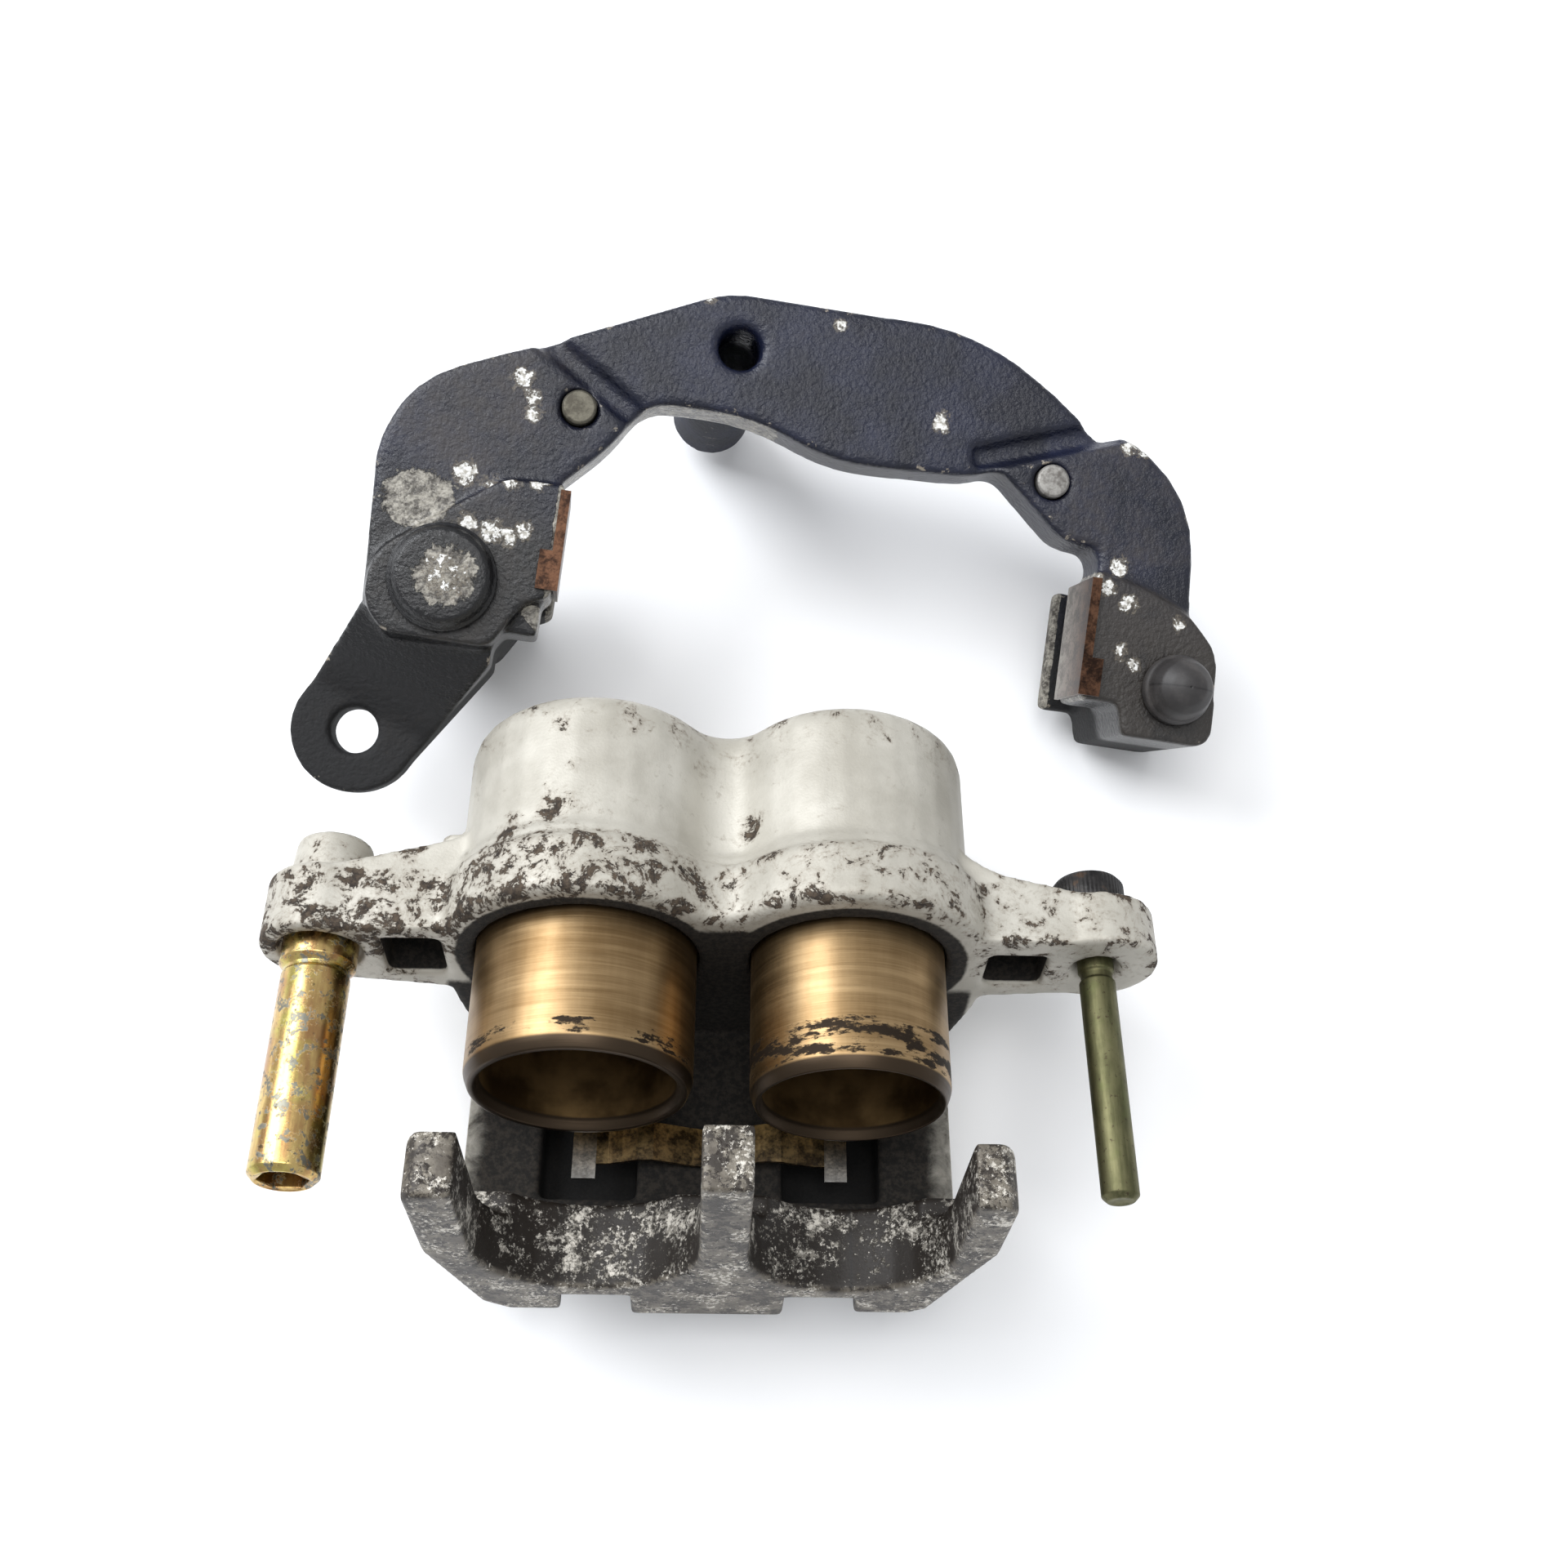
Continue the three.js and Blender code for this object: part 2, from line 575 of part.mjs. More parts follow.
// Spring-steel liner of one pad rail: a leaf down the rail's face, a narrow lip over its front edge
// and a wider ear at its lower end. `side` is +1 where the rail faces +X.
function padClip(name, side, faceX, yFrom, yTo) {
  const thickness = 0.7;
  const leaf = { inner: faceX + side * gap, outer: faceX + side * (gap + thickness) };
  const lip = { width: 0.8, back: gap, front: gap + thickness };
  const ear = { width: 3, height: 7 };
  const span = (x, yLow, yHigh, zBack, zFront) => (
    box(Math.min(x, leaf.outer), Math.max(x, leaf.outer), yLow, yHigh, zBack, zFront)
  );
  return piece(name, carve([
    span(leaf.inner, yFrom, yTo, rotorGap.front + 1, lip.front),
    span(faceX - side * lip.width, yFrom, yTo, lip.back, lip.front),
    span(faceX - side * ear.width, yFrom, yFrom + ear.height, lip.back, lip.front),
  ]), springSteel);
}

function padClips() {
  return [
    padClip('left_outer_pad_clip', 1, rail.left, 0.6, 18.6),
    padClip('right_outer_pad_clip', -1, rail.right, -3.4, 18.4),
  ];
}

// ---------------------------------------------------------------- assembly

function groupOf(...pieces) {
  const group = new THREE.Group();
  group.add(...pieces.flat());
  return group;
}

// Moves a group straight up or down until its lowest point is on the bench, z = 0.
function layOnBench(group) {
  group.updateMatrixWorld(true);
  group.position.z -= new THREE.Box3().setFromObject(group, true).min.z;
}

const caliper = groupOf(
  caliperBody(),
  piston('piston_large', largePiston),
  piston('piston_small', smallPiston),
  seals('large', largePiston),
  seals('small', smallPiston),
  mainSlidePin(),
  thinSlidePin(),
  thinPinBolt(),
  padSpring(),
  bleedScrew(),
  bleedCap(),
  passagePlug(),
);
caliper.rotation.set(-17.7 * degree, 2.6 * degree, -0.8 * degree, 'ZYX');

const carrier = groupOf(
  bracket(),
  dowels(),
  mainBoreCap(),
  mainPinBoot(),
  thinPinSleeve(),
  padClips(),
);
carrier.rotation.set(12.9 * degree, 9 * degree, -6 * degree, 'ZYX');
carrier.position.set(18.9, 59, 0);

layOnBench(caliper);
layOnBench(carrier);

const model = new THREE.Group();
model.add(caliper, carrier);

// The origin is on the bench, under the middle of the whole object.
model.updateMatrixWorld(true);
const middle = new THREE.Box3().setFromObject(model, true).getCenter(new THREE.Vector3());
model.position.set(-middle.x, -middle.y, 0);

export default model;
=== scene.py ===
"""A twin-piston brake caliper and its mounting bracket, laid out on a white table.

The castings are the CAD solids with cast edges, worn paint and dirt. The turned pieces,
rubber pieces and springs are made here in the two frames that the CAD draws them in.
Sizes in the piece sections are millimetres, as in the CAD; the meshes are in metres.
"""

import math

import bmesh
import bpy
import numpy as np
from mathutils import Euler, Matrix, Vector


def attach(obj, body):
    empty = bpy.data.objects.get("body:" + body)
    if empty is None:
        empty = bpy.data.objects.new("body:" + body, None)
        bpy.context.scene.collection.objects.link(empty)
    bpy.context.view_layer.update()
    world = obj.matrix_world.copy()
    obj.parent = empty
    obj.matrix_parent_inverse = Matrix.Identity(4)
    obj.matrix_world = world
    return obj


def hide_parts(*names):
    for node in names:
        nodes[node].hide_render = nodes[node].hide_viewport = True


MM = 0.001
CAST_GRAIN = 0.6  # size in mm of the facets that a casting is rebuilt from
CAST_SOFTENING = 5  # rounds of smoothing that round its edges
EDGE_REACH = 24  # rounds of spreading that tell its convex edges from its hollows
SHARP_ANGLE = 40  # degrees between faces above which a turned edge stays sharp

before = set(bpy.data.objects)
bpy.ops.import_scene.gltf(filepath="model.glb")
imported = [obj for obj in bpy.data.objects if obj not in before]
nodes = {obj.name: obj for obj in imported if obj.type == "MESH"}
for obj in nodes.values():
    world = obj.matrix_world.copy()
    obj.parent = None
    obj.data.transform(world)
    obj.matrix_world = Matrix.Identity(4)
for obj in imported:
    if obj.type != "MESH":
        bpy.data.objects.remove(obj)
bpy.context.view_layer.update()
scene = bpy.context.scene


def group_frame(origin, turn):
    """The place of a CAD group: its origin in millimetres and its turns about X, Y and Z in degrees."""
    turned = Euler([math.radians(angle) for angle in turn], "XYZ").to_matrix().to_4x4()
    return Matrix.Translation([MM * value for value in origin]) @ turned


# Caliper frame: bores along Y with their mouth at y = 0. Bracket frame: pin bores along Z.
CALIPER = group_frame((-6.993, -35.220, 40.799), (-17.7, 2.6, -0.8))
BRACKET = group_frame((11.907, 23.780, 44.704), (12.9, 9.0, -6.0))

PIN_X = 67.5
LARGE_PISTON = {"x": -21.6, "radius": 19.1, "wall": 2.7, "length": 33.5, "proud": 24.4}
SMALL_PISTON = {"x": 23.8, "radius": 16.9, "wall": 2.1, "length": 34.5, "proud": 26.0}


# ---------------------------------------------------------------- camera, floor and light


def make_camera(place=(0.00567, -0.08162, 0.3344), tilt=15, lens=39):
    """A camera above the table, tilted from straight down towards the bracket."""
    camera = bpy.data.cameras.new("camera")
    camera.lens = lens
    camera.sensor_width = 36
    holder = bpy.data.objects.new("camera", camera)
    holder.location = place
    holder.rotation_euler = (math.radians(tilt), 0, 0)
    scene.collection.objects.link(holder)
    scene.camera = holder


def area_light(name, place, aim, size, power, colour):
    light = bpy.data.lights.new(name, "AREA")
    light.size = size
    light.energy = power
    light.color = colour
    lamp = bpy.data.objects.new(name, light)
    lamp.location = place
    towards = Vector(aim) - lamp.location
    lamp.rotation_euler = towards.to_track_quat("-Z", "Y").to_euler()
    scene.collection.objects.link(lamp)


def make_light():
    """A pale room, a window behind on the left and a softbox overhead."""
    daylight = (0.95, 0.97, 1.0)
    world = bpy.data.worlds.new("studio")
    world.use_nodes = True
    background = world.node_tree.nodes["Background"]
    background.inputs["Color"].default_value = (*daylight, 1)
    background.inputs["Strength"].default_value = 0.70
    scene.world = world
    area_light("window", (-0.55, 0.42, 0.70), (0, 0, 0.03), 0.6, 9.5, daylight)
    area_light("softbox", (0.05, 0.12, 0.95), (0, -0.02, 0.03), 0.55, 3.6, (1, 1, 1))
    scene.view_settings.view_transform = "Standard"


# ---------------------------------------------------------------- mesh helpers


def circle(angle):
    """The plain section: every point is at the full radius."""
    return np.ones_like(angle)


def hexagon(angle):
    """Distance to a hexagon's edge, as a share of the distance to its corners."""
    within = np.mod(angle, math.pi / 3) - math.pi / 6
    return math.cos(math.pi / 6) / np.cos(within)


def knurl(angle):
    """Straight teeth round a bolt's head."""
    return 1 - 0.022 * np.abs(np.mod(angle * 54 / (2 * math.pi), 1) * 2 - 1)


def rounded(corners, radius, closed):
    """The corners of a profile with each sharp one replaced by a short arc."""
    if radius == 0:
        return corners
    made = []
    last = len(corners) - 1
    for i, corner in enumerate(corners):
        here = np.array(corner[:2], float)
        section = corner[2] if len(corner) > 2 else circle
        if not closed and i in (0, last):
            made.append((*here, section))
            continue
        before = np.array(corners[i - 1][:2], float) - here
        after = np.array(corners[(i + 1) % len(corners)][:2], float) - here
        reach = min(radius, 0.4 * np.linalg.norm(before), 0.4 * np.linalg.norm(after))
        start = here + before / np.linalg.norm(before) * reach
        end = here + after / np.linalg.norm(after) * reach
        for t in (0, 0.33, 0.67, 1):
            point = (1 - t) ** 2 * start + 2 * t * (1 - t) * here + t * t * end
            made.append((*point, section))
    return made


def lathe(name, corners, axis="Y", sides=144, soft=0.15, closed=False):
    """A turned mesh from (radius, height) corners, each with an optional section of its own."""
    profile = rounded(corners, soft, closed)
    angle = np.arange(sides) * 2 * math.pi / sides
    maker = bmesh.new()
    rings = []
    for radius, height, *section in profile:
        reach = radius * (section[0] if section else circle)(angle)
        if radius < 1e-6:
            reach = np.zeros(1)
        a = angle[: len(reach)]
        u, v, w = reach * np.cos(a), reach * np.sin(a), np.full(len(reach), height)
        places = np.stack([u, w, v] if axis == "Y" else [u, v, w], axis=1) * MM
        rings.append([maker.verts.new(place) for place in places])
    pairs = list(zip(rings, rings[1:]))
    if closed:
        pairs.append((rings[-1], rings[0]))
    for low, high in pairs:
        for i in range(sides):
            j = (i + 1) % sides
            if len(low) == 1 and len(high) == 1:
                continue
            if len(low) == 1:
                maker.faces.new((low[0], high[j], high[i]))
            elif len(high) == 1:
                maker.faces.new((low[i], low[j], high[0]))
            else:
                maker.faces.new((low[i], low[j], high[j], high[i]))
    return finished_mesh(name, maker)


def finished_mesh(name, maker):
    """Turns a bmesh into a mesh with smooth faces and sharp edges."""
    bmesh.ops.recalc_face_normals(maker, faces=maker.faces)
    mesh = bpy.data.meshes.new(name)
    maker.to_mesh(mesh)
    maker.free()
    mesh.shade_smooth()
    mesh.set_sharp_from_angle(angle=math.radians(SHARP_ANGLE))
    return mesh


def place_piece(name, mesh, place, body, replaced, material):
    """Makes a piece of the mesh; the move goes into the mesh, so its object stays at the origin."""
    mesh.transform(place)
    piece = bpy.data.objects.new(name, mesh)
    scene.collection.objects.link(piece)
    piece.data.materials.clear()
    piece.data.materials.append(material)
    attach(piece, body)
    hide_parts(*replaced)
    return piece


def at(group, x, y=0.0, z=0.0):
    """A place in a group's frame, in millimetres."""
    return group @ Matrix.Translation((x * MM, y * MM, z * MM))


def with_modifiers(name, mesh, *modifiers):
    """The mesh after the modifiers, each given as (type, settings)."""
    holder = bpy.data.objects.new(name, mesh)
    scene.collection.objects.link(holder)
    for kind, settings in modifiers:
        modifier = holder.modifiers.new(kind.lower(), kind)
        for key, value in settings.items():
            setattr(modifier, key, value)
    bpy.context.view_layer.update()
    graph = bpy.context.evaluated_depsgraph_get()
    made = bpy.data.meshes.new_from_object(holder.evaluated_get(graph))
    bpy.data.objects.remove(holder)
    made.name = name
    return made


def cad_mesh(node, group):
    """A copy of a CAD node's mesh, in its group's own frame."""
    mesh = nodes[node].data.copy()
    mesh.transform(group.inverted())
    return mesh


# ---------------------------------------------------------------- castings


def neighbour_mean(values, edges, counts):
    """For each vertex, the mean of what its neighbours hold."""
    a, b = edges[:, 0], edges[:, 1]
    sums = [
        np.bincount(a, values[b, k], len(values)) + np.bincount(b, values[a, k], len(values))
        for k in range(values.shape[1])
    ]
    return np.stack(sums, axis=1) / counts


def casting(name, node, group):
    """The CAD solid with cast edges: its mesh, points in mm, normals and how convex it is at each."""
    mesh = with_modifiers(
        name,
        cad_mesh(node, group),
        ("REMESH", {"mode": "VOXEL", "voxel_size": CAST_GRAIN * MM, "use_smooth_shade": True}),
    )
    points = vertex_places(mesh)
    edges = np.empty(len(mesh.edges) * 2, int)
    mesh.edges.foreach_get("vertices", edges)
    edges = edges.reshape(-1, 2)
    counts = np.maximum(np.bincount(edges.ravel(), minlength=len(points)), 1)[:, None]
    for _ in range(CAST_SOFTENING):
        points += 0.5 * (neighbour_mean(points, edges, counts) - points)
    mesh.vertices.foreach_set("co", (points * MM).ravel())
    mesh.update()
    normals = np.empty(len(points) * 3)
    mesh.vertex_normals.foreach_get("vector", normals)
    normals = normals.reshape(-1, 3)
    spread = points.copy()
    for _ in range(EDGE_REACH):
        spread = neighbour_mean(spread, edges, counts)
    convex = np.einsum("ij,ij->i", points - spread, normals)
    return mesh, points, normals, convex


def vertex_places(mesh):
    """The places of a mesh's vertices, in millimetres."""
    places = np.empty(len(mesh.vertices) * 3)
    mesh.vertices.foreach_get("co", places)
    return places.reshape(-1, 3) / MM


def keep_attribute(mesh, name, values):
    """Stores a share from 0 to 1 on each vertex, for the material to read."""
    attribute = mesh.attributes.new(name, "FLOAT", "POINT")
    attribute.data.foreach_set("value", np.clip(values, 0, 1).astype(np.float32))


def step(value, low, high):
    """0 below low, 1 above high and smooth between; low above high turns it round."""
    t = np.clip((value - low) / (high - low), 0, 1)
    return t * t * (3 - 2 * t)


def inside(value, low, high, soft):
    """1 between low and high, fading to 0 over the soft distance outside."""
    return step(value, low - soft, low) * step(value, high + soft, high)


def near(points, spots):
    """How close each point is to the nearest of some (x, y, z, radius) spots."""
    best = np.zeros(len(points))
    for x, y, z, radius in spots:
        distance = np.linalg.norm(points - (x, y, z), axis=1)
        best = np.maximum(best, step(distance, radius * 2.2, radius * 0.2))
    return best


# ---------------------------------------------------------------- shader helpers


class Shader:
    """Short calls that add and wire the nodes of one material."""

    def __init__(self, name, group, metallic=0.0):
        self.group = group
        self.material = bpy.data.materials.new(name)
        self.material.use_nodes = True
        self.tree = self.material.node_tree
        self.surface = self.tree.nodes["Principled BSDF"]
        self.surface.inputs["Metallic"].default_value = metallic

    def put(self, kind, inputs, output=0, **settings):
        """Adds a node and returns one of its outputs."""
        made = self.tree.nodes.new(kind)
        for key, value in settings.items():
            setattr(made, key, value)
        for key, value in inputs.items():
            self.join(made.inputs[key], value)
        return made.outputs[output]

    def join(self, socket, value):
        """Links a node's output to the socket, or sets a plain value on it."""
        if isinstance(value, bpy.types.NodeSocket):
            self.tree.links.new(value, socket)
        else:
            socket.default_value = value

    def give(self, **sockets):
        """Wires values into the shader's sockets, such as Base_Color."""
        for name, value in sockets.items():
            self.join(self.surface.inputs[name.replace("_", " ")], value)

    def place(self, stretch=(1, 1, 1)):
        """Coordinates in the frame of the piece's group, in millimetres times stretch."""
        own = self.put("ShaderNodeTexCoord", {}, "Object")
        inputs = {
            "Vector": own,
            "Location": self.group.translation,
            "Rotation": self.group.to_euler(),
            "Scale": [MM / value for value in stretch],
        }
        return self.put("ShaderNodeMapping", inputs, vector_type="TEXTURE")

    def axis(self, place, name):
        return self.put("ShaderNodeSeparateXYZ", {0: place}, name)

    def noise(self, place, size, detail=4.0, roughness=0.55, distortion=0.0):
        inputs = {
            "Vector": place,
            "Scale": 1 / size,
            "Detail": detail,
            "Roughness": roughness,
            "Distortion": distortion,
        }
        return self.put("ShaderNodeTexNoise", inputs, "Fac")

    def kept(self, name):
        """What keep_attribute stored on the mesh."""
        return self.put("ShaderNodeAttribute", {}, "Fac", attribute_name=name)

    def sum(self, *terms):
        """The sum of (factor, value) terms; a bare number is a constant."""
        total = 0.0
        for term in terms:
            if isinstance(term, tuple):
                factor, value = term
                inputs = {0: value, 1: factor, 2: total}
                total = self.put("ShaderNodeMath", inputs, operation="MULTIPLY_ADD")
            else:
                total = self.put("ShaderNodeMath", {0: total, 1: term}, operation="ADD")
        return total

    def times(self, a, b):
        return self.put("ShaderNodeMath", {0: a, 1: b}, operation="MULTIPLY")

    def most(self, a, b):
        return self.put("ShaderNodeMath", {0: a, 1: b}, operation="MAXIMUM")

    def band(self, value, low, high, bottom=0.0, top=1.0):
        """Goes smoothly from bottom to top as the value goes from low to high."""
        inputs = {"Value": value, "From Min": low, "From Max": high, "To Min": bottom, "To Max": top}
        return self.put("ShaderNodeMapRange", inputs, interpolation_type="SMOOTHSTEP")

    def mix(self, share, a, b):
        """Colour a where share is 0 and colour b where it is 1."""
        a, b = [(*c, 1) if isinstance(c, tuple) else c for c in (a, b)]
        return self.put("ShaderNodeMix", {0: share, 6: a, 7: b}, 2, data_type="RGBA")

    def bump(self, height, depth, under=None):
        """Relief of the given depth in millimetres, on top of an earlier bump."""
        inputs = {"Height": height, "Distance": depth * MM, "Strength": 1.0}
        if under is not None:
            inputs["Normal"] = under
        return self.put("ShaderNodeBump", inputs)


# ---------------------------------------------------------------- materials


def silver_paint():
    """Warm silver paint on cast aluminium, chipped to brown and rubbed bare on the claw, with painted
    light on the claw's up-facing tops and painted shade in its bays, mouths, jaw and hollows.
    """
    s = Shader("silver_paint", CALIPER, metallic=0.2)
    here = s.place()
    edge, soil, rubbed, shade_and_grime = [s.kept(name) for name in ("edge", "soil", "rubbed", "shade_and_grime")]
    cloud = s.noise(here, 16, 5, 0.6)
    flakes = s.noise(here, 4.2, 9, 0.74, 0.5)
    specks = s.noise(here, 1.1, 6, 0.7)
    grain = s.noise(here, 0.5, 3)

    paint = s.mix(s.band(cloud, 0.3, 0.72), (0.350, 0.330, 0.282), (0.490, 0.470, 0.415))
    paint = s.mix(s.band(specks, 0.56, 0.8, 0, 0.45), paint, (0.27, 0.25, 0.22))
    chance = s.sum((0.72, flakes), (0.28, specks), (0.25, soil), (0.04, edge), (0.10, cloud), -0.05)
    chip = s.band(chance, 0.655, 0.68)
    stain = s.band(chance, 0.56, 0.69, 0, 0.6)
    chip_colour = s.mix(s.band(specks, 0.4, 0.65), (0.022, 0.016, 0.012), (0.085, 0.062, 0.042))
    colour = s.mix(stain, paint, (0.19, 0.155, 0.115))
    colour = s.mix(chip, colour, chip_colour)

    # On the claw, the up-facing tops take the lighter face colour as painted light and the bays take a
    # near-black colour as painted shade; the rubbed front and sides are real wear.
    rubbed_and_lit_share = s.kept("rubbed_and_lit")
    broad = s.noise(here, 7, 5, 0.65)
    speckle = s.sum((0.55, s.noise(here, 1.3, 8, 0.78)), (0.25, specks), (0.45, broad))
    mottle = s.band(speckle, 0.64, 0.70)
    shaded_bay = s.mix(mottle, (0.015, 0.011, 0.008), (0.24, 0.222, 0.19))
    face = s.mix(s.band(broad, 0.35, 0.65), (0.070, 0.058, 0.044), (0.200, 0.178, 0.142))
    pitted = s.sum((0.45, flakes), (0.35, s.noise(here, 1.5, 8, 0.78)), (0.20, specks))
    face = s.mix(s.band(pitted, 0.49, 0.52), face, (0.022, 0.016, 0.011))
    metal = s.mix(rubbed_and_lit_share, shaded_bay, face)
    glint = s.sum((0.6, s.noise(here, 0.8, 6, 0.8)), (0.30, broad), (0.20, speckle))
    metal = s.mix(s.band(glint, 0.615, 0.65), metal, (0.60, 0.565, 0.50))
    metal = s.mix(s.kept("seam"), metal, (0.010, 0.008, 0.007))
    worn = s.band(s.sum((1.0, rubbed), (0.9, s.noise(here, 5, 6, 0.7)), -0.45), 0.35, 0.6)
    colour = s.mix(worn, colour, metal)

    # Painted shade mixed with grime: a near-black film at the bore mouths, inside the jaw, in hollows,
    # in the blind recesses and in the pockets.
    film = s.band(s.sum((1.0, shade_and_grime), (0.7, flakes), -0.35), 0.25, 0.85)
    shade_and_grime_colour = s.mix(s.band(specks, 0.4, 0.62), (0.007, 0.006, 0.005), (0.028, 0.023, 0.018))
    colour = s.mix(film, colour, shade_and_grime_colour)
    colour = s.mix(s.kept("shade"), colour, (0.002, 0.002, 0.002))

    roughness = s.sum((0.16, grain), (0.36, s.most(chip, film)), 0.42)
    relief = s.bump(grain, 0.05)
    relief = s.bump(chip, -0.08, relief)
    relief = s.bump(s.times(worn, mottle), 0.05, relief)
    s.give(Base_Color=colour, Roughness=roughness, Normal=relief)
    return s.material


def black_paint():
    """Satin black paint over a coarse casting, with dust, white corrosion, bare spots and a painted
    blue sheen on the arch plate.
    """
    s = Shader("black_paint", BRACKET)
    here = s.place()
    edge, dust, rubbed, salt = [s.kept(name) for name in ("edge", "dust", "rubbed", "salt")]
    cloud = s.noise(here, 14, 5, 0.6)
    flakes = s.noise(here, 2.8, 8, 0.72, 0.4)
    grain = s.noise(here, 0.95, 4, 0.6)
    specks = s.noise(here, 0.8, 5, 0.7)

    # The blue tint is a painted sheen, a blue-tinted reflection on the arch plate; beyond the arch the
    # paint is neutral black.
    paint = s.mix(s.band(cloud, 0.35, 0.7), (0.0036, 0.0046, 0.0115), (0.0105, 0.0135, 0.0330))
    arch = s.band(s.axis(here, "Y"), 6, 24)
    paint = s.mix(arch, (0.0060, 0.0060, 0.0068), paint)
    film = s.band(s.sum((0.8, dust), (0.9, flakes), (1.3, cloud), -0.97), 0.2, 0.8)
    colour = s.mix(s.times(film, 0.7), paint, (0.036, 0.030, 0.025))
    scuff = s.band(s.sum((0.13, edge), (0.8, flakes), (0.2, specks)), 0.70, 0.74)
    colour = s.mix(scuff, colour, (0.24, 0.21, 0.17))

    patchy = s.band(s.sum((0.6, flakes), (0.4, specks)), 0.42, 0.6)
    metal = s.mix(patchy, (0.045, 0.039, 0.032), (0.33, 0.31, 0.265))
    bare = s.band(s.sum((1.0, rubbed), (1.5, flakes), -0.75), 0.42, 0.54)
    colour = s.mix(bare, colour, metal)

    salting = s.sum((0.47, salt), (1.0, s.noise(here, 2.1, 7, 0.7, 0.4)), (0.30, specks))
    crust = s.band(salting, 1.02, 1.06)
    crust_colour = s.mix(s.band(specks, 0.4, 0.6), (0.34, 0.32, 0.28), (0.76, 0.76, 0.74))
    colour = s.mix(s.band(salting, 0.90, 1.05, 0, 0.7), colour, (0.15, 0.125, 0.09))
    colour = s.mix(crust, colour, crust_colour)

    roughness = s.sum((0.20, film), (0.25, crust), (0.12, grain), 0.19)
    relief = s.bump(grain, 0.32)
    relief = s.bump(bare, -0.08, relief)
    relief = s.bump(crust, 0.12, relief)
    roughness = s.sum((0.5, s.kept("matt")), roughness)
    s.give(Base_Color=colour, Roughness=roughness, Normal=relief, Specular_IOR_Level=0.45)
    return s.material


def bronze(name, rim_at, band_to, worn_above):
    """Hard-anodised bronze with turning rings and a dark worn band from the rim to band_to."""
    s = Shader(name, CALIPER, metallic=1.0)
    here = s.place()
    rings = s.noise(s.place((0.06, 5, 0.06)), 1.6, 5, 0.7)
    wide = s.noise(s.place((0.08, 1, 0.08)), 3.2, 3, 0.6)
    along = s.noise(s.place((1, 0.12, 1)), 5, 4, 0.6)
    fine = s.noise(here, 1.0, 6, 0.72)
    smear = s.noise(s.place((0.35, 1, 0.35)), 2.6, 7, 0.7)

    tone = s.sum((0.3, rings), (0.5, wide), (0.25, along), -0.02)
    colour = s.mix(s.band(tone, 0.34, 0.74), (0.18, 0.110, 0.048), (0.43, 0.300, 0.158))
    # The inside wall is darker than the outside: painted shade inside the cup, broken up by patches.
    patches = s.band(s.noise(here, 9, 4, 0.5), 0.35, 0.65)
    wall = s.mix(patches, (0.070, 0.042, 0.018), (0.22, 0.140, 0.060))
    colour = s.mix(s.kept("within"), colour, wall)
    y = s.axis(here, "Y")
    zone = s.times(s.band(y, rim_at - 1.5, rim_at + 0.5), s.band(y, band_to + 2.0, band_to))
    zone = s.sum((1.0, zone), (-2.0, s.kept("within")))
    worn = s.band(s.sum((0.42, zone), (0.75, smear), (0.1, fine)), worn_above, worn_above + 0.05)
    colour = s.mix(worn, colour, (0.035, 0.026, 0.019))
    rim = s.band(y, rim_at + 0.15, rim_at - 0.35)
    colour = s.mix(rim, colour, (0.055, 0.039, 0.026))
    roughness = s.sum((0.18, rings), (0.25, worn), (0.1, fine), (0.15, s.kept("within")), 0.25)
    s.give(Base_Color=colour, Roughness=roughness, Normal=s.bump(rings, 0.012))
    return s.material


def zinc(name, light, dark, tint, patch, patch_share, dullness):
    """Chromate over zinc: two tones, a second tint and patches where it has worn to grey."""
    s = Shader(name, CALIPER, metallic=1.0)
    here = s.place()
    cloud = s.noise(s.place((1, 0.45, 1)), 4.5, 4, 0.6)
    fine = s.noise(here, 0.9, 6, 0.75)
    streak = s.noise(s.place((1, 0.08, 1)), 0.9, 4, 0.6)
    flakes = s.noise(here, 2.6, 7, 0.75)
    colour = s.mix(s.band(s.sum((0.6, cloud), (0.4, streak)), 0.36, 0.64), dark, light)
    colour = s.mix(s.band(s.noise(here, 6, 3), 0.5, 0.66, 0, 0.55), colour, tint)
    worn = s.band(s.sum((0.8, flakes), (0.2, fine)), 0.62 - patch_share, 0.66 - patch_share)
    colour = s.mix(worn, colour, patch)
    colour = s.mix(s.band(fine, 0.60, 0.64, 0, 0.85), colour, (0.06, 0.045, 0.03))
    roughness = s.sum((0.2, worn), (0.15, fine), dullness - 0.05)
    s.give(Base_Color=colour, Roughness=roughness, Normal=s.bump(s.sum((0.5, fine), (0.5, worn)), 0.03))
    return s.material


def steel(name, light, dark, metallic, dullness, rust=None):
    """Bare or blackened steel with stains."""
    s = Shader(name, BRACKET, metallic=metallic)
    here = s.place()
    cloud = s.noise(here, 3.2, 6, 0.65)
    fine = s.noise(here, 0.5, 4, 0.6)
    colour = s.mix(s.band(s.sum((0.7, cloud), (0.3, fine)), 0.38, 0.62), dark, light)
    if rust:
        colour = s.mix(s.band(cloud, 0.56, 0.66, 0, 0.8), colour, rust)
    roughness = s.sum((0.25, cloud), dullness - 0.1)
    s.give(Base_Color=colour, Roughness=roughness, Normal=s.bump(fine, 0.03))
    return s.material


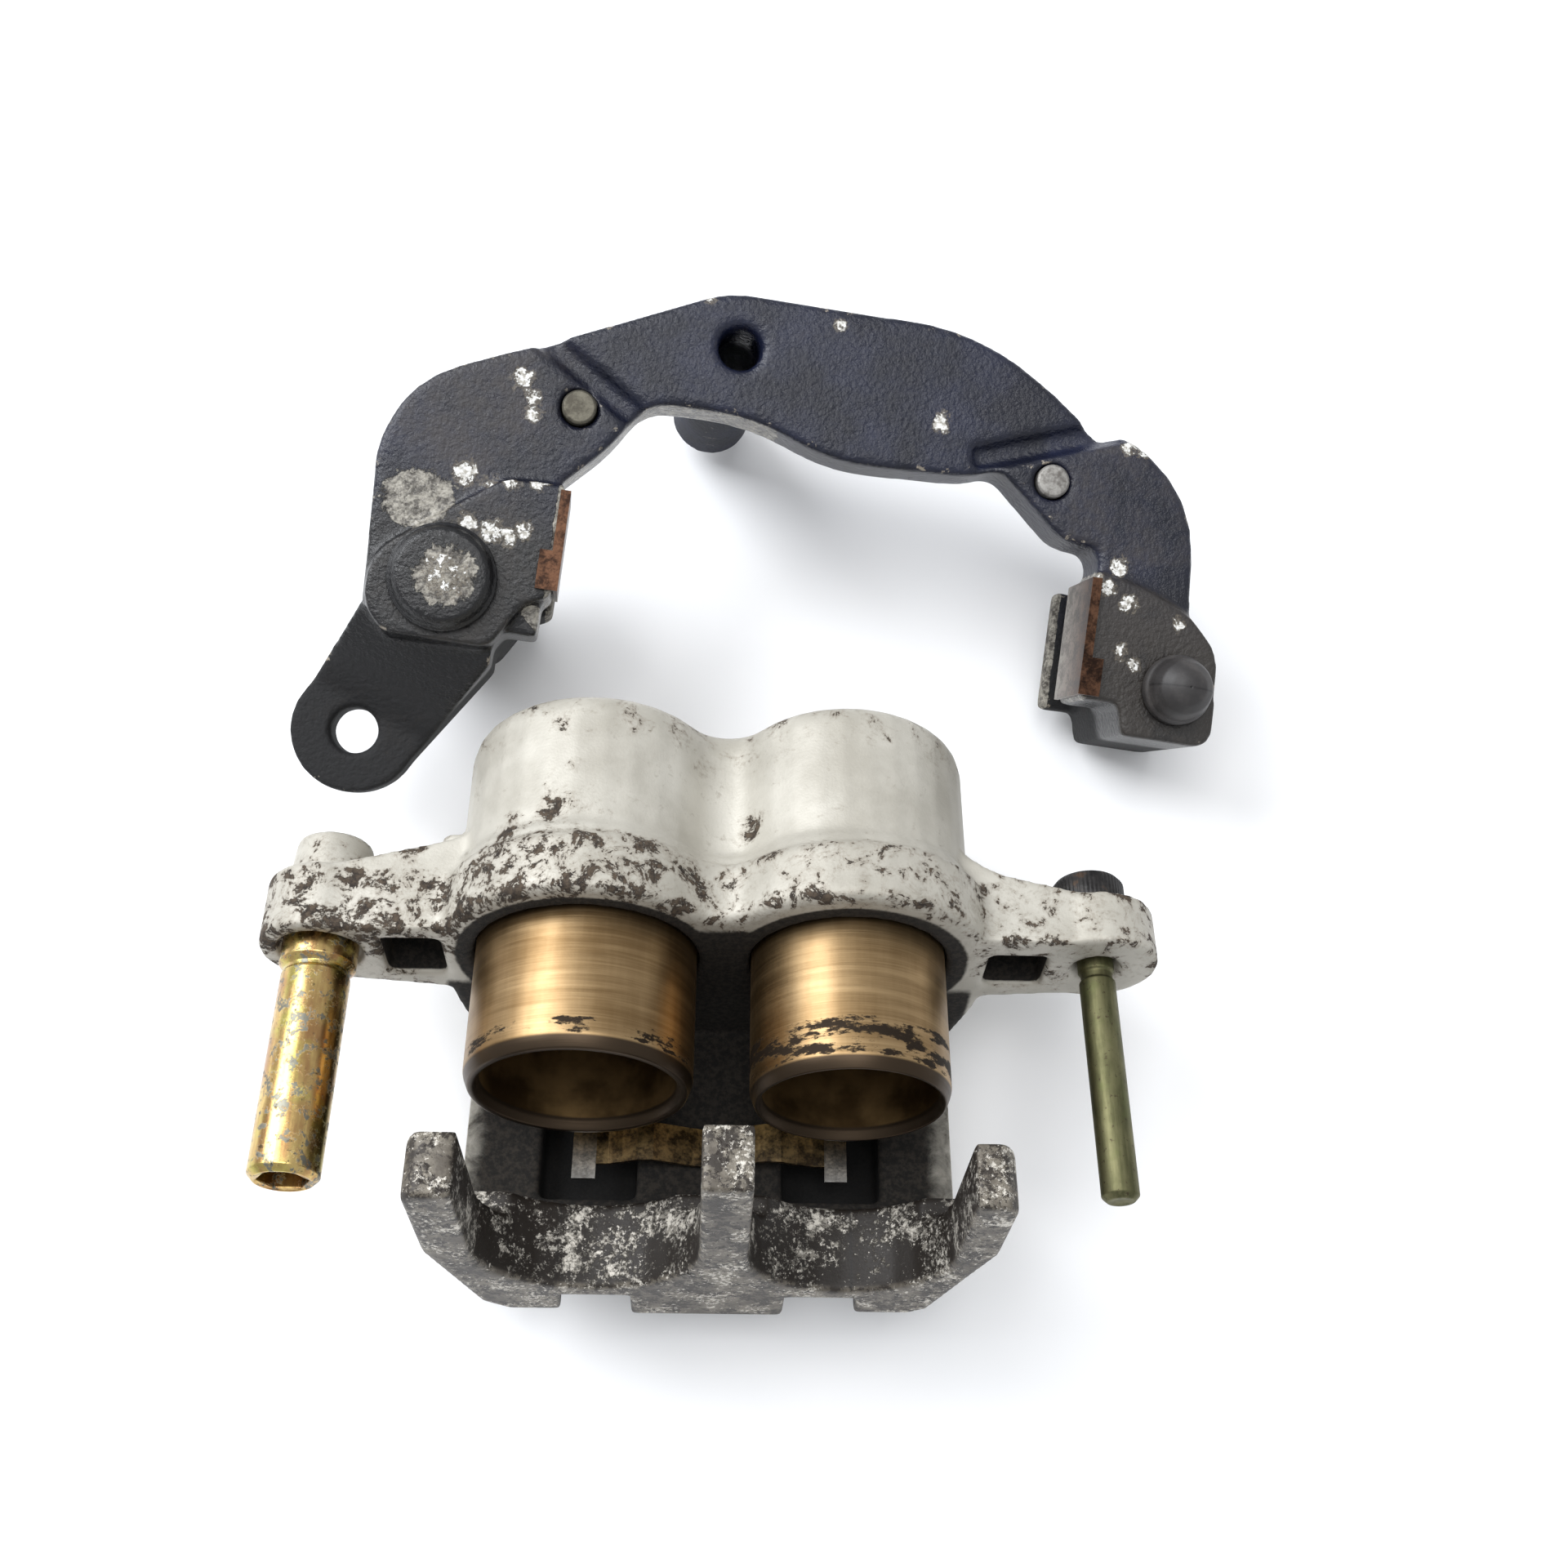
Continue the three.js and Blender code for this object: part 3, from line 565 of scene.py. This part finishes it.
def rubber():
    """Matt black rubber with a darker parting line."""
    s = Shader("rubber", BRACKET)
    here = s.place()
    cloud = s.noise(here, 5, 5, 0.6)
    fine = s.noise(here, 0.35, 3, 0.5)
    colour = s.mix(s.band(cloud, 0.4, 0.7), (0.020, 0.018, 0.018), (0.045, 0.040, 0.038))
    colour = s.mix(s.kept("parting"), colour, (0.006, 0.005, 0.005))
    s.give(Base_Color=colour, Roughness=s.sum((0.2, cloud), 0.42), Normal=s.bump(fine, 0.02))
    return s.material


def table_top():
    s = Shader("table_top", Matrix.Identity(4))
    shade = s.band(s.noise(s.place(), 60, 3), 0.3, 0.7)
    s.give(Base_Color=s.mix(shade, (0.93, 0.935, 0.945), (0.96, 0.96, 0.965)), Roughness=0.7)
    return s.material


# ---------------------------------------------------------------- caliper pieces


def make_caliper_body():
    """The casting, with where it is chipped and rubbed bare, lit brighter by painted light, and
    darkened by painted shade mixed with brake dust.
    """
    mesh, p, n, convex = casting("caliper_body_cast", "caliper_body", CALIPER)
    x, y, z = p.T
    keep_attribute(mesh, "edge", step(convex, 0.10, 0.75))
    flange = inside(y, 0.2, 11.5, 1.5) * step(z, -8, 4) * (1 - 0.28 * step(x, -14, 6))
    tops = inside(y, 34, 42, 3) * 0.45
    arms = step(np.abs(x), 46, 52) * 0.5
    spots = near(p, [
        (-26.8, 17.2, 22, 3), (-34.2, 14, 19, 3), (6.1, 19.8, 14, 2.5),
        (-23, 26.4, 22, 1.5), (0, 32, 16, 3),
    ])
    soil = np.maximum.reduce([flange * 0.56, tops * 0.6, arms * 0.55, spots * 0.75])
    keep_attribute(mesh, "soil", soil)

    # The lighter face colour goes on the rubbed front and sides, and as painted light on the up-facing
    # leg tops; the rest of the claw gets painted shade.
    claw = step(y, -33.0, -34.2)
    claw_front = step(y, -48.2, -49.0)
    leg_tops = claw * step(n[:, 2], 0.4, 0.8) * step(z, 8, 14)
    sides = claw * step(np.abs(n[:, 0]), 0.6, 0.9) * step(np.abs(x), 43, 45)
    keep_attribute(mesh, "rubbed_and_lit", np.maximum.reduce([claw_front, leg_tops, sides]))
    seams = sum(np.exp(-((x - seam) / 0.22) ** 2) for seam in (-25.2, 17.2, 25.5))
    keep_attribute(mesh, "seam", seams * inside(y, -49, -34, 0.3) * step(z, 6, -6) * 0.8)
    keep_attribute(mesh, "rubbed", np.maximum(claw, step(convex, 0.35, 0.9) * 0.35))

    # Painted shade mixed with grime: the band at the bore mouths, the jaw's inside (darker towards its
    # middle), hollows, the blind recesses and the pockets.
    from_large = np.hypot(x - LARGE_PISTON["x"], z)
    from_small = np.hypot(x - SMALL_PISTON["x"], z)
    core = np.maximum.reduce([
        step(from_large, 23.4, 22.0),
        step(from_small, 21.8, 20.2),
        inside(x, -12, 16, 3) * step(z, 14, 10),
        step(z, -6, -12),
    ])
    mouth = step(np.abs(y), 2.6, 1.2) * core * step(np.abs(x), 48, 46)
    jaw_inside = inside(y, -33.6, -0.5, 0.5) * step(z, -20, -24) * step(n[:, 2], 0.2, 0.6)
    jaw_inside *= 0.55 + 0.40 * step(np.abs(x), 43, 38)
    bores = step(convex, -0.15, -0.7)
    recesses = inside(y, -32.6, -10.8, 0.3) * step(z, -29.2, -29.8) * step(z, -37.2, -36.5)
    recesses *= step(np.abs(x), 34, 32)
    pockets = inside(np.abs(x), 45.6, 59.4, 0.3) * inside(y, 1.3, 9.6, 0.4)
    pockets *= inside(z, -7.6, 6.2, 0.3)
    shade_and_grime = np.maximum.reduce([mouth, jaw_inside, bores * 0.4, recesses, pockets])
    keep_attribute(mesh, "shade_and_grime", shade_and_grime)
    keep_attribute(mesh, "shade", recesses * step(z, -29.6, -30.6) * 0.9)
    place_piece("caliper_body_cast", mesh, CALIPER, "caliper", ["caliper_body"],
                silver_paint())


def make_piston(name, node, body, size, material):
    inner = size["radius"] - size["wall"]
    radius, proud = size["radius"], size["proud"]
    end = size["length"] - proud
    corners = [
        (0, end - 4.5), (inner - 1.5, end - 4.5), (inner, end - 6),
        (inner, -proud + 1.4), (inner + 0.7, -proud),
        (radius - 0.9, -proud), (radius - 0.3, -proud + 1.4), (radius, -proud + 2.4),
        (radius, end - 1.2), (radius - 1.2, end), (0, end),
    ]
    mesh = lathe(name, corners, sides=192, soft=0.3)
    x, _, z = vertex_places(mesh).T
    keep_attribute(mesh, "within", step(np.hypot(x, z), inner + 0.5, inner + 0.2))
    place_piece(name, mesh, at(CALIPER, size["x"]), body, [node], material)


def make_main_pin():
    radius, reach = 5.85, 40.4
    corners = [
        (0, -31.6), (4.0, -31.6, hexagon), (4.3, -reach + 0.4, hexagon), (4.55, -reach),
        (4.9, -reach), (radius, -reach + 1), (radius, -4.6), (5.5, -4.2), (5.5, -3.4),
        (6.5, -2.4), (6.5, 2.5), (4.3, 2.5), (4.3, 14.5), (3.6, 15.2), (0, 15.2),
    ]
    finish = zinc(
        "yellow_zinc", light=(0.62, 0.46, 0.18), dark=(0.38, 0.21, 0.09), tint=(0.50, 0.49, 0.12),
        patch=(0.20, 0.195, 0.16), patch_share=0.095, dullness=0.22,
    )
    mesh = lathe("main_slide_pin_turned", corners, soft=0.2)
    place_piece("main_slide_pin_turned", mesh, at(CALIPER, -PIN_X), "caliper", ["main_slide_pin"],
                finish)
    return finish


def make_thin_pin():
    reach, radius, seat = 41.6, 3.15, 10.2
    corners = [
        (0, -reach + 0.25), (1.3, -reach + 0.1), (1.7, -reach), (2.3, -reach),
        (radius, -reach + 0.9), (radius, -2.4), (2.75, -2), (2.75, -0.8),
        (radius, -0.4), (radius, seat - 0.3), (0, seat - 0.3),
    ]
    finish = zinc(
        "olive_zinc", light=(0.16, 0.152, 0.080), dark=(0.080, 0.080, 0.040), tint=(0.11, 0.12, 0.05),
        patch=(0.22, 0.16, 0.075), patch_share=-0.05, dullness=0.5,
    )
    mesh = lathe("thin_slide_pin_turned", corners, soft=0.2)
    place_piece("thin_slide_pin_turned", mesh, at(CALIPER, PIN_X), "caliper", ["thin_slide_pin"],
                finish)


def make_bolt():
    head, seat = 6.5, 10.5
    top = seat + 6.6
    corners = [
        (0, seat), (head - 0.5, seat), (head, seat + 0.6, knurl), (head, top - 0.9, knurl),
        (head - 0.7, top), (3.4, top), (3.1, top - 0.3),
        (2.9, top - 0.5, hexagon), (2.9, top - 3.5, hexagon), (0, top - 3.5),
    ]
    finish = steel(
        "black_steel", light=(0.030, 0.028, 0.027), dark=(0.009, 0.008, 0.008),
        metallic=0.5, dullness=0.45, rust=(0.07, 0.04, 0.022),
    )
    mesh = lathe("bolt_head", corners, sides=216, soft=0)
    place_piece("bolt_head", mesh, at(CALIPER, PIN_X), "caliper", ["thin_pin_bolt"],
                finish)


def make_bleeder(finish, soft_black):
    place = at(CALIPER, LARGE_PISTON["x"], 0, -12)
    screw = lathe("bleed_screw_turned", [
        (0, 37), (1.2, 37), (4, 40), (4, 44.3),
        (5.2, 44.3, hexagon), (5.3, 44.6, hexagon), (5.3, 49, hexagon), (5.1, 49.3, hexagon),
        (3.6, 49.3), (2.6, 50.2), (3.3, 51.4), (3.3, 52.4), (2.4, 56), (0.9, 56), (0.9, 44), (0, 44),
    ])
    place_piece("bleed_screw_turned", screw, place, "bleeder", ["bleed_screw"], finish)
    inner = [(0, 56.5), (3.0, 56.5), (3.9, 53), (3.9, 50.6), (3.6, 49.9)]
    outer = [(3.6, 49.9), (5, 49.9), (5, 51.6), (4.4, 52.2), (4.4, 56.4), (3.2, 57.8), (0, 57.8)]
    cap = lathe("bleed_cap_moulded", outer + inner, soft=0.2)
    place_piece("bleed_cap_moulded", cap, place, "bleeder_cap", ["bleed_cap"], soft_black)


def spring_finish(name, group, leaf, bend):
    """Patinated spring steel, with one pair of tones on the leaf and another where it is bent."""
    s = Shader(name, group, metallic=1.0)
    here = s.place()
    cloud = s.noise(here, 2.6, 6, 0.65)
    fine = s.noise(here, 0.5, 4, 0.6)
    tone = s.band(s.sum((0.7, cloud), (0.3, fine)), 0.38, 0.62)
    colour = s.mix(s.kept("bent"), s.mix(tone, *leaf), s.mix(tone, *bend))
    s.give(Base_Color=colour, Roughness=s.sum((0.25, cloud), 0.24), Normal=s.bump(fine, 0.03))
    return s.material


def make_springs():
    """The pad spring and the two pad clips, whose outer or bent ends have other tones."""
    edges = {
        "width": 0.14 * MM, "segments": 2,
        "limit_method": "ANGLE", "angle_limit": math.radians(40),
    }
    flat = {"decimate_type": "DISSOLVE", "angle_limit": math.radians(1)}
    grey = ((0.15, 0.13, 0.11), (0.40, 0.37, 0.33))
    copper = ((0.022, 0.013, 0.010), (0.105, 0.054, 0.033))
    gold = ((0.050, 0.032, 0.014), (0.34, 0.225, 0.085))
    pale = ((0.30, 0.29, 0.27), (0.50, 0.49, 0.47))
    clip = spring_finish("clip_steel", BRACKET, grey, copper)
    leaf = spring_finish("pad_spring_steel", CALIPER, gold, pale)
    springs = [
        ("pad_spring", CALIPER, "caliper", leaf, ("y", -26.5, -27.0)),
        ("left_outer_pad_clip", BRACKET, "carrier", clip, ("z", -0.6, 0.2)),
        ("right_outer_pad_clip", BRACKET, "carrier", clip, ("z", -0.6, 0.2)),
    ]
    for node, group, body, finish, (axis, leaf_ends, bend_starts) in springs:
        name = node + "_formed"
        mesh = with_modifiers(name, cad_mesh(node, group), ("DECIMATE", flat), ("BEVEL", edges))
        mesh.shade_smooth()
        mesh.set_sharp_from_angle(angle=math.radians(50))
        along = vertex_places(mesh)[:, "xyz".index(axis)]
        keep_attribute(mesh, "bent", step(along, leaf_ends, bend_starts))
        place_piece(name, mesh, group, body, [node], finish)


# ---------------------------------------------------------------- bracket pieces


def make_bracket(paint):
    """The casting, with where it is dusty, rubbed bare and corroded white."""
    mesh, p, n, convex = casting("bracket_cast", "bracket", BRACKET)
    x, y, z = p.T
    keep_attribute(mesh, "edge", step(convex, 0.15, 0.8))
    blocks = 0.35 * step(x, -48, -56) + 0.75 * step(x, 40, 48)
    blocks *= step(z, -2.0, -0.6) * step(y, 30, 16)
    left_pad = near(p, [(-64, 34, -2.5, 15)]) * 0.55
    right_pad = step(x, 30, 44) * inside(y, 24, 46, 4) * step(z, -2.4, -1.6) * 0.35
    keep_attribute(mesh, "dust", np.maximum.reduce([blocks, left_pad, right_pad]))

    oval = step(np.hypot((x + 74) / 7.0, (y - 13.5) / 5.4), 1.55, 0.35) * step(z, -4, -2.8)
    rails = (inside(x, -49.4, -46, 0.4) + inside(x, 48, 51, 0.4)) * step(y, 21, 19)
    foot = inside(x, -57, -49, 0.5) * inside(y, -8, -2.4, 0.4) * inside(z, -16, -3, 0.5)
    foot *= step(y + x, -57.5, -56.5)
    arch = inside(x, -50, -14, 4) * inside(y, 18, 40, 3)
    arch *= step(n[:, 2], 0.35, 0.1) * step(n[:, 1], -0.2, -0.5)
    keep_attribute(mesh, "rubbed", np.maximum.reduce([oval, rails * 0.9, foot, arch * 0.95]))

    salt = near(p, [
        (-58.8, 38, -2.5, 2.2), (-56.2, 34.7, -2.5, 1.6), (-56.2, 31.7, -2.5, 1.6),
        (-66.3, 19.4, -2.5, 2.2), (-61.9, 19, -1, 1.8), (-58.3, 18.8, 0, 1.8),
        (-53.3, 19.6, 0, 1.8), (-60.6, 9.6, 0, 2.2), (-64.3, 10.5, 0, 1.8),
        (-57.5, 8.6, 0, 1.8), (-54.9, 10.5, 0, 1.6), (17.7, 42.8, -2.5, 1.8),
        (53.5, 44.2, -1.5, 1.8), (56, 43.9, -1.5, 1.5), (54.2, 21.5, -1.5, 1.8),
        (49.7, 19.7, 0, 1.6), (52.5, 17, 0, 1.6), (56.7, 14.6, 0, 1.8), (56.4, 5.4, 0, 1.6),
        (59, 3.5, 0, 1.4), (66.6, 12.3, 0, 1.4), (-3.5, 57.4, -2.5, 1.2), (-27.8, 58.1, -2.5, 1.2),
    ])
    keep_attribute(mesh, "salt", salt * step(z, -5, -3))
    keep_attribute(mesh, "matt", step(z, -12, -17))
    place_piece("bracket_cast", mesh, BRACKET, "carrier", ["bracket"], paint)


def make_dowels():
    bare = steel("bare_steel", (0.34, 0.33, 0.31), (0.13, 0.12, 0.11), metallic=0.75, dullness=0.5)
    dull = steel("dull_steel", (0.15, 0.14, 0.11), (0.060, 0.054, 0.042), metallic=0.75, dullness=0.5)
    places = [("left_dowel", -48.2, 34.4, -2.5, dull), ("right_dowel", 39.7, 35.2, -1.5, bare)]
    for name, x, y, front, finish in places:
        top = front + 0.7
        corners = [(0, -10.2), (3.1, -10.2), (3.1, top - 0.4), (2.7, top), (0, top)]
        mesh = lathe(name + "_turned", corners, "Z", 96)
        place_piece(name + "_turned", mesh, at(BRACKET, x, y), "carrier", [name], finish)
    return bare


def make_bore_cap(paint):
    wall = [
        (0, -4.5), (6.1, -4.5), (6.1, 0.3), (9.6, 0.3),
        (9.6, 1.5), (9.0, 1.9), (8.5, 3.3), (7.7, 4.1),
    ]
    crown = [(radius, 4.3 - 0.2 * (radius / 7.7) ** 2) for radius in (6, 4.5, 3, 1.5, 0)]
    mesh = lathe("main_bore_cap_pressed", wall + crown, "Z", soft=0.35)
    x, y, z = vertex_places(mesh).T
    from_middle = np.hypot(x - 0.8, y)
    keep_attribute(mesh, "rubbed", step(from_middle, 8.6, 2.0) * step(z, 2, 3.5))
    keep_attribute(mesh, "salt", step(from_middle, 6.5, 3) * 0.75)
    place_piece("main_bore_cap_pressed", mesh, at(BRACKET, -PIN_X), "carrier", ["main_bore_cap"],
                paint)


def make_boots(soft_black):
    top = -49.7
    boot = lathe("main_pin_boot_moulded", [
        (6.2, top - 5.6), (7.4, top - 5.6), (8.6, top - 4.4), (7.4, top - 3.2),
        (8.8, top - 1.6), (8.8, top), (6.4, top),
    ], "Z", soft=0.5, closed=True)
    place_piece("main_pin_boot_moulded", boot, at(BRACKET, -PIN_X), "carrier", ["main_pin_boot"],
                soft_black)

    outer, lip = 5.3, -31.3
    sleeve = lathe("thin_pin_sleeve_moulded", [
        (3.5, lip - 2.2), (7, lip - 2.2), (7.4, lip - 1.1), (7, lip), (outer, lip), (outer, 0.3),
        (6.5, 0.3), (6.5, 2.2), (5.9, 2.9), (5.7, 4.6), (4.9, 6.5), (3.3, 7.9), (1.6, 8.6), (0, 8.8),
        (0, 6.8), (3.2, 5.4), (3.5, 4), (3.5, lip - 2.2),
    ], "Z", sides=240, soft=0.4)
    _, y, z = vertex_places(sleeve).T
    keep_attribute(sleeve, "parting", np.exp(-((y / 0.16) ** 2)) * step(z, 2.5, 3.5))
    place_piece("thin_pin_sleeve_moulded", sleeve, at(BRACKET, PIN_X), "carrier", ["thin_pin_sleeve"],
                soft_black)


# ---------------------------------------------------------------- the whole object


def make_floor():
    maker = bmesh.new()
    bmesh.ops.create_grid(maker, x_segments=1, y_segments=1, size=3)
    floor = bpy.data.objects.new("table_top", finished_mesh("table_top", maker))
    floor.data.materials.append(table_top())
    scene.collection.objects.link(floor)


def finish_kept_nodes(soft_black, bare):
    """CAD nodes whose shape is right keep it and get a better material."""
    finishes = {
        "large_dust_seal": soft_black, "large_pressure_seal": soft_black,
        "small_dust_seal": soft_black, "small_pressure_seal": soft_black,
        "passage_plug": bare,
    }
    for node, material in finishes.items():
        nodes[node].data.materials.clear()
        nodes[node].data.materials.append(material)


make_camera()
make_floor()
make_light()

soft_black = rubber()
black = black_paint()
make_caliper_body()
make_piston("large_piston_turned", "piston_large", "large_piston", LARGE_PISTON,
            bronze("bronze_large", rim_at=-22.2, band_to=-19.5, worn_above=0.86))
make_piston("small_piston_turned", "piston_small", "small_piston", SMALL_PISTON,
            bronze("bronze_small", rim_at=-23.8, band_to=-17.5, worn_above=0.82))
yellow = make_main_pin()
make_thin_pin()
make_bolt()
make_bleeder(yellow, soft_black)
make_springs()
make_bracket(black)
bare = make_dowels()
make_bore_cap(black)
make_boots(soft_black)
finish_kept_nodes(soft_black, bare)
